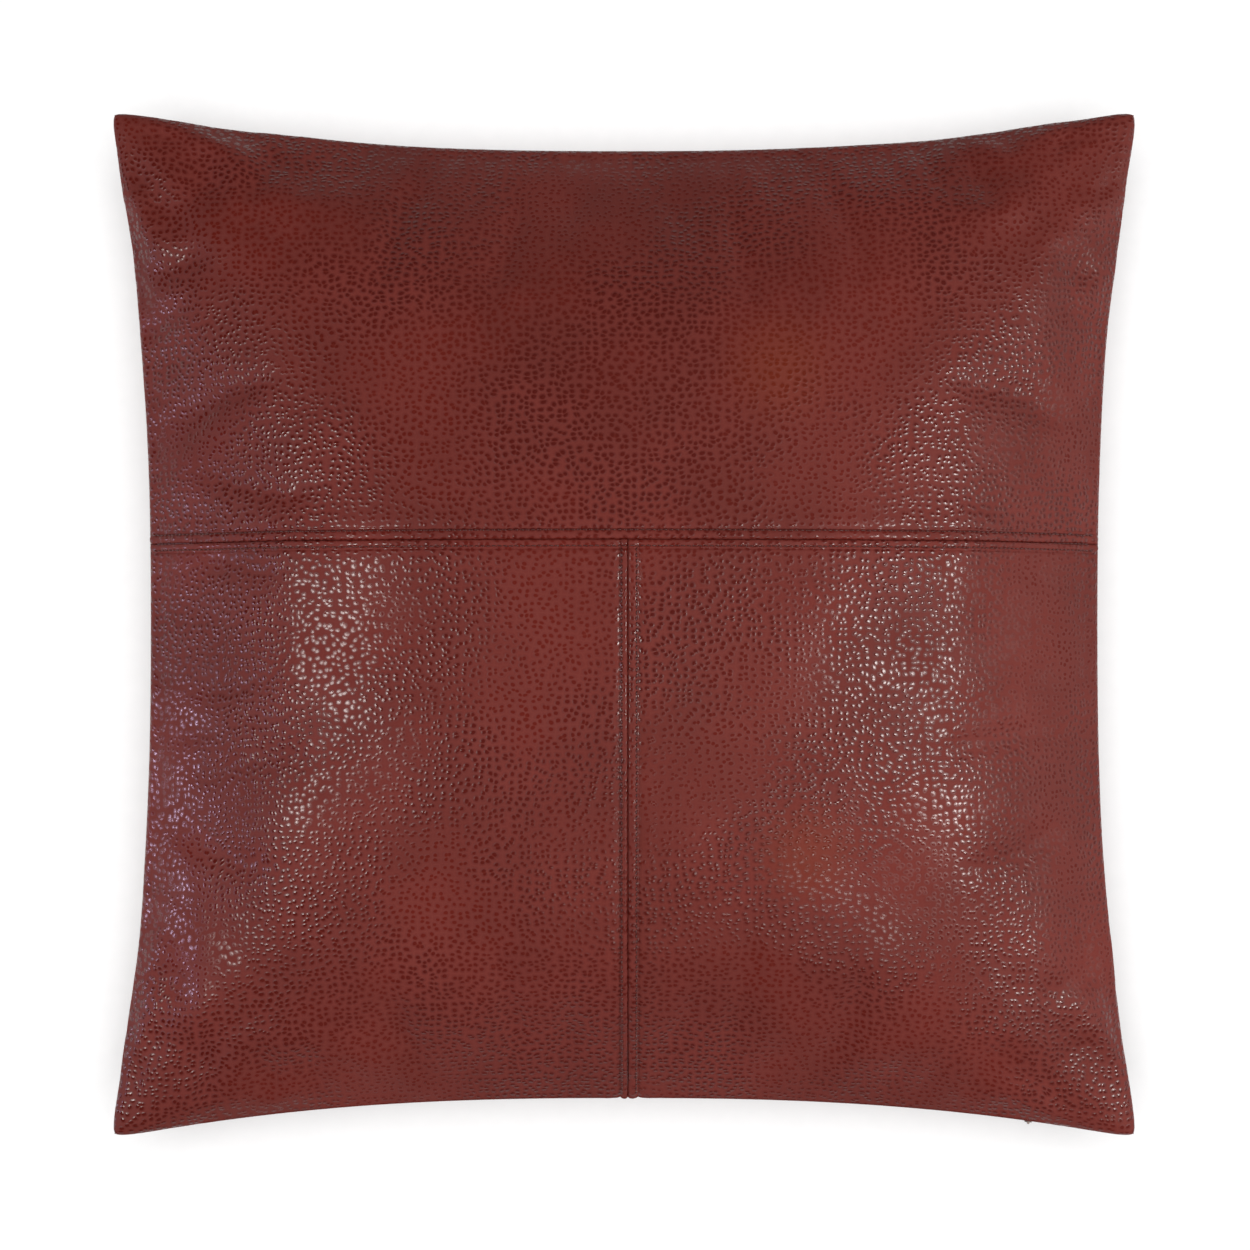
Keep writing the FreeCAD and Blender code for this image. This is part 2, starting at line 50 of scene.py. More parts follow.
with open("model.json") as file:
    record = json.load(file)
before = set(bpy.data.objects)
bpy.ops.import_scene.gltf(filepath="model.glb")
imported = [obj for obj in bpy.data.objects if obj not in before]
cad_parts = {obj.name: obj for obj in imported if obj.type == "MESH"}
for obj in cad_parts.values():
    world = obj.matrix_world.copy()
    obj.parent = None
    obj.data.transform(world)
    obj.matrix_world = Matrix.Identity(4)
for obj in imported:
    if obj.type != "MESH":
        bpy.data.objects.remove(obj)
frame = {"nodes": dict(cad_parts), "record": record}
cad_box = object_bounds()
nodes = frame["nodes"]
MM = 0.001


def middle(node):
    """Centre of a CAD node's box."""
    low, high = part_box(node)
    return (low + high) / 2


# ---- Sizes ----

HALF_SPAN = (cad_box[1].x - cad_box[0].x) / 2
SEAM_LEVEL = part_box("front_upper_panel")[0].z
FRONT_RISE = cad_box[1].z - SEAM_LEVEL
BACK_RISE = FRONT_RISE + 5 * MM
CROSS_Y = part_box("front_upper_panel")[0].y
CENTRE_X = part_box("front_lower_left_panel")[1].x
ROW_ABOVE = middle("cross_seam_topstitch_upper").y - CROSS_Y
ROW_BELOW = CROSS_Y - middle("cross_seam_topstitch_lower").y
ROW_LEFT = CENTRE_X - middle("centre_seam_topstitch_left").x
ROW_RIGHT = middle("centre_seam_topstitch_right").x - CENTRE_X
ZIP_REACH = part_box("zip_tape_front")[1].x

EDGE_INSET = 21.8 * MM  # how far the filling draws the middle of each edge in
INSET_POWER = 2.45
CROWN_POWER = 0.7
EDGE_SOFTNESS = 0.01
TIP_PULL = 3.6 * MM  # rounds the tips
TIP_GAIN = 0.724 * TIP_PULL  # makes up the span that the rounding takes

LEATHER = 1.2 * MM
LIP_RADIUS = 1.3 * MM
WALL = 2 * MM  # depth of the folded leather at a seam
PUFF = 0.55 * MM  # height of the fold between a seam and its stitches
ROW_DENT = 0.6 * MM
ROW_DENT_WIDTH = 1.1 * MM
ALLOWANCE = 12 * MM
ALLOWANCE_RIDGE = 0.15 * MM
ALLOWANCE_SOFTNESS = 2.5 * MM
ROW_PUCKER = 0.14 * MM
ROW_PUCKER_REACH = 7 * MM
PITCH = 3.2 * MM
STITCH = 2.75 * MM
THREAD = 0.36 * MM
THREAD_SLANT = 0.22 * MM
ROW_MARGIN = 5 * MM
SLOT_OPENING = 2.8 * MM  # each lip stands clear of the slider by this along the zip
SLOT_REACH = 6 * MM
SHUT_GAP = 0.03 * MM  # keeps the lips of the closing seam apart
ZIP_STIFFNESS = 14 * MM  # the zip keeps folds this far from its edge
ZIP_END = 8 * MM  # the lips come together over this length at each end of the zip
ZIP_CALM = 0.9  # share of the puckers and the bulge that the zip takes away
EDGE_PUCKER = 0.3 * MM
EDGE_PUCKER_REACH = 14 * MM
EDGE_BULGE = 0.75 * MM
EDGE_BULGE_AT = 3 * MM
FLOOR_BLEND = 3 * MM
SEAM_LIFT = 1.6 * MM  # the layers under the cross seam raise it
SEAM_LIFT_REACH = 24 * MM
LOOSE_WAVE = 0.55 * MM
CORNER_FOLD = 0.7 * MM
CORNER_FOLD_AT = 85 * MM  # distance of the corner folds from their tip
CORNER_FOLD_REACH = 50 * MM
TIP_FOLD_WIDTH = 12 * MM
FOLD_SPREAD = 0.28  # how fast the folds widen away from their tip


# ---- The cover's surface ----


def half_width(share):
    """Half the cover's width at this share of its length."""
    draw = (EDGE_INSET + TIP_GAIN) * (1 - np.abs(share) ** INSET_POWER)
    return HALF_SPAN + TIP_GAIN - draw


def crown(u, v):
    """Height share over the cover, from 1 at its middle to 0 at its edges."""
    across = np.maximum(1 - u * u, 1e-9)
    along = np.maximum(1 - v * v, 1e-9)
    room = 1 / (1 / across + 1 / along - 1)
    low = EDGE_SOFTNESS**CROWN_POWER
    return ((room + EDGE_SOFTNESS) ** CROWN_POWER - low) / ((1 + EDGE_SOFTNESS) ** CROWN_POWER - low)


def crowned(u, v, side):
    """The plain crowned surface with rounded tips. Side is 1 for the face and -1 for the back."""
    near_tip = HALF_SPAN * (2 - np.abs(u) - np.abs(v))
    pull = TIP_PULL * np.exp(-near_tip / (2 * TIP_PULL))
    x = u * half_width(v) - np.sign(u) * pull
    y = v * half_width(u) - np.sign(v) * pull
    rise = FRONT_RISE if side > 0 else -BACK_RISE
    return np.stack([x, y, SEAM_LEVEL + rise * crown(u, v)], axis=-1)


def ripple(along, seed, shortest, longest, count=9):
    """A smooth random wave of about unit height along a line."""
    random = np.random.default_rng(seed)
    total = 0
    for _ in range(count):
        length = random.uniform(shortest, longest)
        total = total + np.sin(2 * math.pi * (along / length + random.uniform()))
    return total / math.sqrt(count)


def swell(x, y, seed, shortest, longest, count=14):
    """A smooth random surface of about unit height."""
    random = np.random.default_rng(seed)
    total = 0
    for _ in range(count):
        angle = random.uniform(0, math.pi)
        length = random.uniform(shortest, longest)
        along = x * math.cos(angle) + y * math.sin(angle)
        total = total + np.sin(2 * math.pi * (along / length + random.uniform()))
    return total / math.sqrt(count)


def smoothstep(value, start, end):
    """0 before start, 1 past end, and an even turn between them."""
    t = np.clip((value - start) / (end - start), 0, 1)
    return t * t * (3 - 2 * t)


def unit(vectors):
    """Vectors of length 1 in the same directions."""
    return vectors / np.maximum(np.linalg.norm(vectors, axis=-1, keepdims=True), 1e-12)


def normals_of(points, side):
    """Outward unit normals of a grid of points."""
    found = unit(np.cross(np.gradient(points, axis=0), np.gradient(points, axis=1)))
    return found if side > 0 else -found


# ---- Cloth simulation of the filled cover ----

SIM_CELLS = 96
SIM_FRAMES = 20
SIM_PRESSURE = 4
SIM_STRETCH = 0.012
SIM_CAP = 7 * MM
MOST_INWARD = {1: 2.2 * MM, -1: 0.0}  # how far the simulation may draw the face and the back in
INWARD_BLEND = 0.5 * MM


def even_grid():
    """u and v at even steps over the whole cover."""
    shares = np.linspace(-1, 1, SIM_CELLS + 1)
    return np.meshgrid(shares, shares, indexing="ij")


def cells(ids):
    """The corners of each cell of a grid of vertex numbers."""
    corners = (ids[:-1, :-1], ids[1:, :-1], ids[1:, 1:], ids[:-1, 1:])
    return np.stack([corner.ravel() for corner in corners], axis=1)


def closed_mesh(name, face, back):
    """A closed form of two grids that share their rim. Also gives its points and vertex numbers."""
    n, m = face.shape[:2]
    rim = np.ones((n, m), bool)
    rim[1:-1, 1:-1] = False
    face_id = np.arange(n * m).reshape(n, m)
    back_id = face_id.copy()
    back_id[~rim] = n * m + np.arange((~rim).sum())
    points = np.concatenate([face.reshape(-1, 3), back[~rim]])
    quads = np.concatenate([cells(face_id), cells(back_id)[:, ::-1]])
    mesh = bpy.data.meshes.new(name)
    mesh.from_pydata(points.tolist(), [], quads.tolist())
    mesh.shade_smooth()
    return mesh, points, rim, face_id, back_id


def simulate():
    """How far the filled cover moves under pressure, as grids over u and v for face and back."""
    u, v = even_grid()
    mesh, points, rim, face_id, back_id = closed_mesh("sim", crowned(u, v, 1), crowned(u, v, -1))
    body = bpy.data.objects.new("sim", mesh)
    bpy.context.scene.collection.objects.link(body)
    pinned = body.vertex_groups.new(name="rim")
    pinned.add(face_id[rim].tolist(), 1.0, "REPLACE")
    cloth = body.modifiers.new("cloth", "CLOTH")
    cloth.settings.quality = 5
    cloth.settings.mass = 0.3
    cloth.settings.tension_stiffness = 40
    cloth.settings.compression_stiffness = 40
    cloth.settings.bending_stiffness = 2
    cloth.settings.shrink_min = -SIM_STRETCH
    cloth.settings.use_pressure = True
    cloth.settings.uniform_pressure_force = SIM_PRESSURE
    cloth.settings.vertex_group_mass = "rim"
    cloth.settings.effector_weights.gravity = 0
    cloth.point_cache.frame_start = 1
    cloth.point_cache.frame_end = SIM_FRAMES
    for step in range(1, SIM_FRAMES + 1):
        bpy.context.scene.frame_set(step)
    evaluated = body.evaluated_get(bpy.context.evaluated_depsgraph_get())
    moved = np.zeros(len(points) * 3, np.float32)
    evaluated.data.vertices.foreach_get("co", moved)
    bpy.context.scene.frame_set(1)
    bpy.data.objects.remove(body)
    shift = moved.reshape(-1, 3) - points
    length = np.linalg.norm(shift, axis=1, keepdims=True)
    shift *= np.minimum(1, SIM_CAP / np.maximum(length, 1e-9))
    return {1: shift[face_id], -1: shift[back_id]}


def spline_weights(t):
    """Weights of the four places round a point at the share t between the middle two."""
    return (
        (1 - t) ** 3 / 6,
        (3 * t**3 - 6 * t**2 + 4) / 6,
        (-3 * t**3 + 3 * t**2 + 3 * t + 1) / 6,
        t**3 / 6,
    )


def sampled(field, u, v):
    """A grid over u and v read smoothly, with cubic B-spline weights."""
    padded = np.pad(field, ((2, 2), (2, 2), (0, 0)), mode="edge")
    at = [(share + 1) / 2 * SIM_CELLS for share in (u, v)]
    base = [np.clip(np.floor(a).astype(int), 0, SIM_CELLS - 1) for a in at]
    weights = [spline_weights(a - b) for a, b in zip(at, base)]
    total = 0
    for i in range(4):
        for j in range(4):
            value = padded[base[0] + i + 1, base[1] + j + 1]
            total = total + value * (weights[0][i] * weights[1][j])[..., None]
    return total


def corner_folds(x, y):
    """Height of the folds that fan out from each tip."""
    height = 0
    for sx in (-1, 1):
        for sy in (-1, 1):
            inward = (2 * HALF_SPAN - sx * x - sy * y) / math.sqrt(2)
            aside = (sx * x - sy * y) / math.sqrt(2)
            reach = np.exp(-(((inward - CORNER_FOLD_AT) / CORNER_FOLD_REACH) ** 2))
            width = TIP_FOLD_WIDTH + FOLD_SPREAD * inward
            wave = np.cos(2 * math.pi * aside / width + 1.7 * sx + 0.9 * sy)
            height = height + CORNER_FOLD * reach * wave
    return height


def filled(u, v, side, shift):
    """The filled cover without its seams: crown, simulated swelling, loose waves and corner folds."""
    points = crowned(u, v, side)
    calm = 1 - np.exp(-(1 + v) * HALF_SPAN / ZIP_STIFFNESS)
    if shift is not None:
        normals = normals_of(points, side)
        move = sampled(shift[side], u, v)
        missing = (-MOST_INWARD[side] - (move * normals).sum(-1)) / INWARD_BLEND
        move = move + normals * (INWARD_BLEND * np.logaddexp(0, missing))[..., None]
        points = points + move * calm[..., None]
    x, y = points[..., 0], points[..., 1]
    inside = crown(u, v)
    height = LOOSE_WAVE * swell(x, y, 11 + side, 0.07, 0.2) * smoothstep(inside, 0.05, 0.5)
    if side > 0:
        lift = SEAM_LIFT * np.exp(-np.abs(y - CROSS_Y) / SEAM_LIFT_REACH)
        height = height + lift * smoothstep(inside, 0.1, 0.6)
    height = height + corner_folds(x, y)
    return points + normals_of(points, side) * (height * calm)[..., None]


# ---- Seam profiles ----


def rolled(distance):
    """How far a folded lip drops at this distance from its seam."""
    run = np.clip(LIP_RADIUS - distance, 0, LIP_RADIUS)
    return LIP_RADIUS - np.sqrt(np.maximum(LIP_RADIUS**2 - run**2, 0))


def topstitched(distance, row, along, seed):
    """Height across a topstitched seam: a puffed fold, the row's dent, puckers and the ridge."""
    fold = PUFF * np.sin(math.pi * np.clip(distance / row, 0, 1)) ** 0.8
    fold = fold * (1 + 0.25 * ripple(along, seed, 0.006, 0.02))
    dent = ROW_DENT * np.exp(-(((distance - row) / ROW_DENT_WIDTH) ** 2))
    ridge = ALLOWANCE_RIDGE * np.exp(-(((distance - ALLOWANCE) / ALLOWANCE_SOFTNESS) ** 2))
    fade = np.exp(-(((distance - row) / ROW_PUCKER_REACH) ** 2))
    pucker = ROW_PUCKER * fade * ripple(along, seed + 1, 0.006, 0.016)
    return fold - dent + ridge + pucker - rolled(distance)


# ---- Grids ----

CELL = 2 * MM
BACK_CELL = 2.9 * MM
FIRST_CELL = 0.05 * MM  # the narrowest cell, beside a seam
ROW_CELL = 0.4 * MM  # cell size over a stitched row


def graded(length, cell):
    """Places from 0 to length with this cell size, gathered towards both ends."""
    growth = 1.45
    step = FIRST_CELL
    run = [0.0]
    while step < cell:
        run.append(run[-1] + step)
        step *= growth
    begin = np.array(run)
    finish = length - begin[::-1]
    steps = max(int(round((finish[0] - begin[-1]) / cell)), 1)
    between = np.linspace(begin[-1], finish[0], steps + 1)[1:-1]
    return np.concatenate([begin, between, finish])


def with_row(places, row):
    """Adds lines beside a stitched row, so that its dent has its shape."""
    extra = row + ROW_CELL * np.arange(-3, 4)
    kept = places[(places < extra[0] - 0.5 * ROW_CELL) | (places > extra[-1] + 0.5 * ROW_CELL)]
    return np.sort(np.concatenate([kept, extra]))


def arc(points, axis, backwards=False):
    """Distance along each grid line from its first point, or from its last one."""
    if backwards:
        return np.flip(arc(np.flip(points, axis), axis), axis)
    steps = np.linalg.norm(np.diff(points, axis=axis), axis=-1)
    zero = np.zeros_like(np.take(steps, [0], axis))
    return np.concatenate([zero, np.cumsum(steps, axis=axis)], axis=axis)


def edge_directions(u, v):
    """Horizontal directions out of the cover: square to the nearest edge, and diagonal at a tip."""
    sharp = 30
    across = np.sign(u) * np.abs(u) ** sharp
    along = np.sign(v) * np.abs(v) ** sharp
    return unit(np.stack([across, along, np.zeros_like(u)], axis=-1))


def steadied(normals, u, v, side):
    """Normals that stay sound at the tips, where the grid lines meet at a flat angle."""
    near_tip = HALF_SPAN * (2 - np.abs(u) - np.abs(v))
    tip = np.exp(-near_tip / (4 * MM))[..., None]
    at_tip = 0.8 * edge_directions(u, v) + (0, 0, 0.6 * side)
    return unit(normals * (1 - tip) + at_tip * tip)


def closing_lips(points, normals, outward, distance, side):
    """Rolls a panel's lips in at the closing seam, puckers them and opens them along the zip."""
    x, y = points[..., 0], points[..., 1]
    edge_y = HALF_SPAN - EDGE_INSET
    lower_edge = smoothstep(-y, edge_y - 30 * MM, edge_y - 12 * MM)
    on_zip = lower_edge * (1 - smoothstep(np.abs(x), ZIP_REACH - ZIP_END, ZIP_REACH))
    loose = 1 - ZIP_CALM * on_zip
    round_edge = np.where(np.abs(x) > np.abs(y), y, x)
    pucker = EDGE_PUCKER * ripple(round_edge, 31 + side, 0.011, 0.03)
    fade = np.exp(-distance / EDGE_PUCKER_REACH) * smoothstep(distance, 0, 4 * MM) * loose
    bulge = EDGE_BULGE * np.exp(-(((distance - EDGE_BULGE_AT) / EDGE_BULGE_AT) ** 2)) * loose
    points = points + normals * (pucker * fade + bulge)[..., None]
    points = points - outward * rolled(distance)[..., None]
    gap = SHUT_GAP + SLOT_OPENING * on_zip * np.exp(-distance / SLOT_REACH)
    points[..., 2] += side * gap
    return points


def settled(points):
    """Flattens what would sink into the floor."""
    z = points[..., 2]
    points[..., 2] = 0.5 * (z + np.sqrt(z * z + FLOOR_BLEND**2))
    return points


# ---- Panels ----


def sheet_mesh(name, outside, inside, wall, fabric, side):
    """A closed leather sheet from its outer and inner grids and the walls round its rim."""
    n, m = outside.shape[:2]
    ids = np.arange(n * m).reshape(n, m)
    rim = np.concatenate([ids[:-1, 0], ids[-1, :-1], ids[:0:-1, -1], ids[0, :0:-1]])
    deep = outside.reshape(-1, 3)[rim] + wall.reshape(-1, 3)[rim]
    wall_ids = 2 * n * m + np.arange(len(rim))
    outer = cells(ids)
    inner = outer[:, ::-1] + n * m
    after = np.roll(rim, -1)
    after_wall = np.roll(wall_ids, -1)
    skirt = np.stack([after, rim, wall_ids, after_wall], 1)
    lining = np.stack([after_wall, wall_ids, rim + n * m, after + n * m], 1)
    quads = np.concatenate([outer, inner, skirt, lining])
    if side < 0:
        quads = quads[:, ::-1]
    points = np.concatenate([outside.reshape(-1, 3), inside.reshape(-1, 3), deep])
    mesh = bpy.data.meshes.new(name)
    mesh.from_pydata(points.tolist(), [], quads.tolist())
    mesh.shade_smooth()
    flat = fabric.reshape(-1, 2)
    cloth = np.concatenate([flat, flat, flat[rim]])
    loops = np.zeros(len(mesh.loops), np.int32)
    mesh.loops.foreach_get("vertex_index", loops)
    layer = mesh.uv_layers.new(name="fabric")
    layer.data.foreach_set("uv", cloth[loops].astype(np.float32).ravel())
    return mesh


def place(name, mesh):
    """Links a finished piece and lets it ride on the cover."""
    made = bpy.data.objects.new(name, mesh)
    bpy.context.scene.collection.objects.link(made)
    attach(made, "cover")
    return made


# The axis that crosses each side of a panel's grid, and whether that side is the grid's last line.
GRID_SIDES = {"left": (0, False), "right": (0, True), "bottom": (1, False), "top": (1, True)}


def stitched_height(points, seams):
    """Height of a panel's topstitched seams over its surface."""
    height = 0
    for where, row, seed in seams:
        axis, backwards = GRID_SIDES[where]
        distance = arc(points, axis, backwards)
        height = height + topstitched(distance, row, points[..., 1 - axis], seed)
    return np.maximum(height, -1.3 * LIP_RADIUS)


def nearest_edge(points, edges):
    """Distance of each point from the nearest of a panel's closed sides."""
    return np.min([arc(points, *GRID_SIDES[where]) for where in edges], axis=0)


def folded_walls(normals, outward, edges):
    """How the leather turns in at a panel's rim: towards the insert, or inwards at a closed side."""
    wall = np.zeros_like(normals)
    for where, (axis, backwards) in GRID_SIDES.items():
        index = -1 if backwards else 0
        line = (index, slice(None)) if axis == 0 else (slice(None), index)
        wall[line] -= WALL * (outward[line] if where in edges else normals[line])
    return wall


def fabric_places(points, u, offset):
    """Where each point lies on the flat leather, in metres, apart from the other panels."""
    across, up = arc(points, 0), arc(points, 1)
    middle_column = np.argmin(np.abs(u[:, 0]))
    across = across - across[middle_column : middle_column + 1, :]
    return np.stack([across + offset[0], up + offset[1]], axis=-1)


def panel(name, node, places, shift, seams, edges, offset, side=1):
    """Makes one leather panel. seams is [(grid side, row distance, seed)], edges its closed sides."""
    u, v = places
    points = filled(u, v, side, shift)
    normals = steadied(normals_of(points, side), u, v, side)
    outward = edge_directions(u, v)
    if seams:
        points = points + normals * stitched_height(points, seams)[..., None]
    points = closing_lips(points, normals, outward, nearest_edge(points, edges), side)
    if side < 0:
        points = settled(points)
    inside = points - steadied(normals_of(points, side), u, v, side) * LEATHER
    wall = folded_walls(normals, outward, edges)
    mesh = sheet_mesh(name, points, inside, wall, fabric_places(points, u, offset), side)
    made = place(name, mesh)
    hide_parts(node)
    return {"piece": made, "points": points, "normals": normals}


# ---- Stitches ----


def line_at(grid, axis, backwards, distance):
    """Points and normals of a panel's surface at this distance from one of its seams."""
    run = arc(grid["points"], axis, backwards)
    if axis == 0:
        run = run.T
    found = []
    for values in (grid["points"], grid["normals"]):
        if axis == 0:
            values = values.transpose(1, 0, 2)
        rows = []
        for line, distances in zip(values, run):
            order = np.argsort(distances)
            rows.append([np.interp(distance, distances[order], line[order, k]) for k in range(3)])
        found.append(np.array(rows))
    return found


RINGS = 9
SIDES = 8


def stitch_row(name, node, path, normals, end_margin=ROW_MARGIN):
    """A row of separate stitches of two-ply thread along a path on the leather."""
    run = arc(path, 0)
    points, quads = [], []
    share = np.linspace(0, 1, RINGS)
    angle = np.linspace(0, 2 * math.pi, SIDES, endpoint=False)
    start = ROW_MARGIN
    while start + STITCH < run[-1] - end_margin:
        at = start + share * STITCH
        centre = np.stack([np.interp(at, run, path[:, k]) for k in range(3)], axis=-1)
        out = unit(np.stack([np.interp(at, run, normals[:, k]) for k in range(3)], axis=-1))
        along = unit(centre[-1:] - centre[:1])
        aside = unit(np.cross(along, out))
        slant = THREAD_SLANT * (share - 0.5)
        lift = THREAD * (1.15 - 2.6 * np.abs(2 * share - 1) ** 3)
        centre = centre + out * lift[:, None] + aside * slant[:, None]
        width = THREAD * (1 + 0.14 * np.cos(2 * angle[None, :] - 2.2 * math.pi * share[:, None]))
        ring = (
            centre[:, None]
            + width[..., None] * np.cos(angle)[None, :, None] * aside[:, None]
            + width[..., None] * np.sin(angle)[None, :, None] * out[:, None]
        )
        base = len(points) * RINGS * SIDES
        points.append(ring.reshape(-1, 3))
        for r in range(RINGS - 1):
            for s in range(SIDES):
                t = (s + 1) % SIDES
                a, b = base + r * SIDES, base + (r + 1) * SIDES
                quads.append((a + s, a + t, b + t, b + s))
        quads.append(tuple(base + s for s in reversed(range(SIDES))))
        quads.append(tuple(base + (RINGS - 1) * SIDES + s for s in range(SIDES)))
        start += PITCH
    mesh = bpy.data.meshes.new(name)
    mesh.from_pydata(np.concatenate(points).tolist(), [], quads)
    mesh.shade_smooth()
    made = place(name, mesh)
    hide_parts(node)
    return made


# ---- Materials ----


def material(name):
    """A new material, its node tree and its shader."""
    made = bpy.data.materials.new(name)
    made.use_nodes = True
    tree = made.node_tree
    return made, tree, tree.nodes["Principled BSDF"]


def add(tree, kind, inputs=None, **settings):
    """A shader node with its settings and inputs, where an input is a value or a socket."""
    made = tree.nodes.new(f"ShaderNode{kind}")
    for key, value in settings.items():
        setattr(made, key, value)
    for key, value in (inputs or {}).items():
        if isinstance(value, bpy.types.NodeSocket):
            tree.links.new(value, made.inputs[key])
        else:
            made.inputs[key].default_value = value
    return made


def maths(tree, operation, *values):
    """A Math node's output."""
    made = add(tree, "Math", dict(enumerate(values)), operation=operation)
    return made.outputs[0]


def noise(tree, vector, scale, detail=2.0, roughness=0.5):
    """A noise texture's value."""
    inputs = {"Vector": vector, "Scale": scale, "Detail": detail, "Roughness": roughness}
    return add(tree, "TexNoise", inputs).outputs["Fac"]


def remap(tree, value, low, high, to_low=0.0, to_high=1.0):
    """A smooth step from to_low at low to to_high at high."""
    inputs = {"Value": value, "From Min": low, "From Max": high, "To Min": to_low, "To Max": to_high}
    return add(tree, "MapRange", inputs, interpolation_type="SMOOTHSTEP").outputs[0]


def blend(tree, factor, first, second):
    """A mix of two colours."""
    made = add(tree, "Mix", data_type="RGBA")
    for index, value in ((0, factor), (6, first), (7, second)):
        if isinstance(value, bpy.types.NodeSocket):
            tree.links.new(value, made.inputs[index])
        elif index:
            made.inputs[index].default_value = (*value, 1)
        else:
            made.inputs[index].default_value = value
    return made.outputs[2]


def bump(tree, height, distance, normal=None):
    """A normal that this height bends, over another one if given."""
    inputs = {"Height": height, "Distance": distance, "Strength": 1.0}
    if normal:
        inputs["Normal"] = normal
    return add(tree, "Bump", inputs).outputs[0]


PEBBLES = 232.0  # pebbles per metre of leather
LEATHER_RED = (0.142, 0.0150, 0.0096)
# Pebble tops are painted darker: painted shade for the dark overhead that their glossy tops reflect.
PEBBLE_TOP_SHADE_RED = (0.080, 0.0068, 0.0046)
# The lines between the pebbles are painted lighter: painted sheen for the bright sides that their
# slopes reflect.
NETWORK_SHEEN_RED = (0.165, 0.0270, 0.0180)
DEEP_RED = (0.088, 0.0085, 0.0048)
RUBBED_ORANGE = (0.17, 0.022, 0.006)
# Centre and radius of each rubbed spot, on the flat leather.
RUBBED_SPOTS = (((0.088, 0.60, 0.0), 45 * MM), ((1.403, -0.33, 0.0), 40 * MM))


def vector_maths(tree, operation, first, second):
    """A Vector Math node's output for two vectors."""
    return add(tree, "VectorMath", {0: first, 1: second}, operation=operation).outputs[0]


def leather_material():
    """Dark red faux leather: domed pebbles, fine creases, uneven dye and two rubbed spots, with painted
    shade on the pebble tops and painted sheen on the lines between them.
    """
    made, tree, shader = material("pebbled_leather")
    cloth = add(tree, "UVMap", uv_map="fabric").outputs[0]
    warp = add(tree, "TexNoise", {"Vector": cloth, "Scale": 55.0, "Detail": 3.0}).outputs["Color"]
    centred = vector_maths(tree, "SUBTRACT", warp, (0.5, 0.5, 0.5))
    pushed = add(tree, "VectorMath", {0: centred, "Scale": 6 * MM}, operation="SCALE").outputs[0]
    warped = vector_maths(tree, "ADD", cloth, pushed)
    squeezed = vector_maths(tree, "MULTIPLY", warped, (1.0, 1.18, 1.0))
    cell = {"Vector": squeezed, "Scale": PEBBLES, "Randomness": 0.72}
    centre = add(tree, "TexVoronoi", cell, voronoi_dimensions="2D").outputs["Distance"]
    border = add(tree, "TexVoronoi", cell, voronoi_dimensions="2D", feature="DISTANCE_TO_EDGE")
    painted_sheen_lines = remap(tree, border.outputs["Distance"], 0.2, 0.0)
    pebble = remap(tree, centre, 0.62, 0.0)
    bold = remap(tree, noise(tree, cloth, 12.0, 4.0), 0.36, 0.62, 0.25, 1.0)
    grain = maths(tree, "MULTIPLY", pebble, bold)
    fine = noise(tree, cloth, 1500.0, 2.0)
    crease = noise(tree, vector_maths(tree, "MULTIPLY", warped, (330.0, 70.0, 1.0)), 1.0, 2.0)
    patch = remap(tree, noise(tree, cloth, 9.0, 1.0), 0.45, 0.65)
    folds = maths(tree, "MULTIPLY", crease, patch)
    first = bump(tree, grain, 0.30 * MM)
    second = bump(tree, folds, 0.16 * MM, normal=first)
    third = bump(tree, fine, 0.03 * MM, normal=second)
    # Painted shade: the pebble tops get a darker base colour, standing in for the dark reflection they
    # show.
    painted_top_shade = maths(tree, "MULTIPLY", remap(tree, centre, 0.60, 0.14), bold)
    dye_and_painted_light = blend(tree, painted_top_shade, LEATHER_RED, PEBBLE_TOP_SHADE_RED)
    # Painted sheen: the lines between the pebbles get a lighter base colour.
    dye_and_painted_light = blend(tree, maths(tree, "MULTIPLY", painted_sheen_lines, 0.4), dye_and_painted_light, NETWORK_SHEEN_RED)
    mottle = remap(tree, noise(tree, cloth, 11.0, 4.0, 0.6), 0.35, 0.68)
    dye_and_painted_light = blend(tree, maths(tree, "MULTIPLY", mottle, 0.45), dye_and_painted_light, DEEP_RED)
    for spot, reach in RUBBED_SPOTS:
        away = add(tree, "VectorMath", {0: warped, 1: spot}, operation="DISTANCE").outputs["Value"]
        rubbed = maths(tree, "MULTIPLY", remap(tree, away, reach, 0.0), 0.55)
        dye_and_painted_light = blend(tree, rubbed, dye_and_painted_light, RUBBED_ORANGE)
    tree.links.new(dye_and_painted_light, shader.inputs["Base Color"])
    haze = remap(tree, noise(tree, cloth, 30.0, 3.0), 0.3, 0.7, 0.0, 0.1)
    rough = maths(tree, "ADD", remap(tree, centre, 0.16, 0.52, 0.14, 0.70), haze)
    tree.links.new(rough, shader.inputs["Roughness"])
    tree.links.new(third, shader.inputs["Normal"])
    shader.inputs["Specular IOR Level"].default_value = 0.36
    return made


def thread_material():
    """Glossy twisted thread, a little darker than the leather: partly its own colour, partly painted
    shade for the dark line along each stitched row.
    """
    made, tree, shader = material("twisted_thread")
    position = add(tree, "TexCoord").outputs["Object"]
    strands = noise(tree, position, 4500.0, 2.0)
    # The dark thread colour is partly painted shade for the shaded dent along each row.
    colour = blend(tree, strands, (0.045, 0.006, 0.005), (0.09, 0.015, 0.011))
    tree.links.new(colour, shader.inputs["Base Color"])
    tree.links.new(bump(tree, strands, 0.05 * MM), shader.inputs["Normal"])
    shader.inputs["Roughness"].default_value = 0.34
    return made


